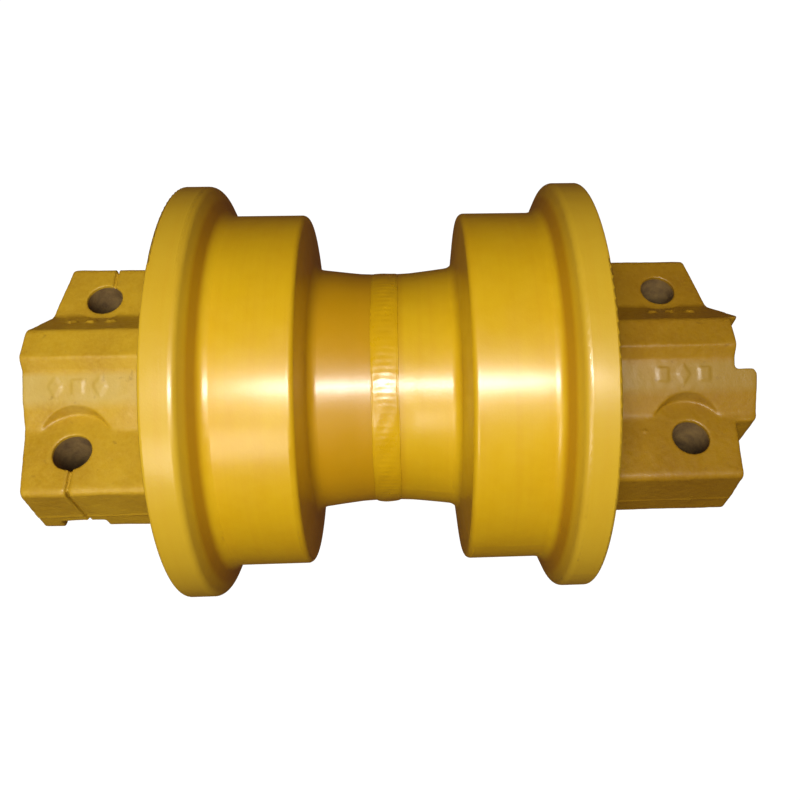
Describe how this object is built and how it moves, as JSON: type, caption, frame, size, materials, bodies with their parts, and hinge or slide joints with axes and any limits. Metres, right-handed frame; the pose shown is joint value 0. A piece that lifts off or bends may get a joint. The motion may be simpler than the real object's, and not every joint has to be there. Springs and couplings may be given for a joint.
{
  "type": "track roller",
  "caption": "Outer-flanged bottom track roller: waisted shell with two treads turning on a fixed shaft held by two bolt-on end collars.",
  "frame": {"origin": "middle of the roller, on the axis that the shell turns about", "axes": "+Y along the shaft towards the filler plug; +Z to the side the bolt heads sit on, which faces the ground in use; the frame seats face -Z"},
  "size_m": [0.2586, 0.4415, 0.2584],
  "materials": {
    "shell_paint": "gloss yellow enamel on machined steel",
    "collar_paint": "yellow enamel on rough cast steel",
    "shaft_steel": "ground steel",
    "bushing_bronze": "satin bronze",
    "seal_iron": "lapped hard iron",
    "seal_rubber": "matt black nitrile rubber",
    "pin_steel": "ground steel",
    "plug_steel": "zinc-plated steel",
    "washer_brass": "soft copper alloy"
  },
  "bodies": {
    "frame_side": {"shaft": "shaft_steel", "filler_plug": "plug_steel", "plug_washer": "washer_brass", "collar_left": "collar_paint", "seal_ring_fixed_left": "seal_iron", "toric_ring_fixed_left": "seal_rubber", "shaft_o_ring_left": "seal_rubber", "lock_pin_left": "pin_steel", "collar_right": "collar_paint", "seal_ring_fixed_right": "seal_iron", "toric_ring_fixed_right": "seal_rubber", "shaft_o_ring_right": "seal_rubber", "lock_pin_right": "pin_steel"},
    "roller": {"center_weld": "shell_paint", "shell_left": "shell_paint", "bushing_left": "bushing_bronze", "seal_ring_turning_left": "seal_iron", "toric_ring_turning_left": "seal_rubber", "shell_right": "shell_paint", "bushing_right": "bushing_bronze", "seal_ring_turning_right": "seal_iron", "toric_ring_turning_right": "seal_rubber"}
  },
  "joints": [
    {"name": "roller_spin", "type": "hinge", "parent": "frame_side", "child": "roller", "pos_m": [0, 0, 0], "axis": [0, 1, 0], "continuous": true}
  ]
}
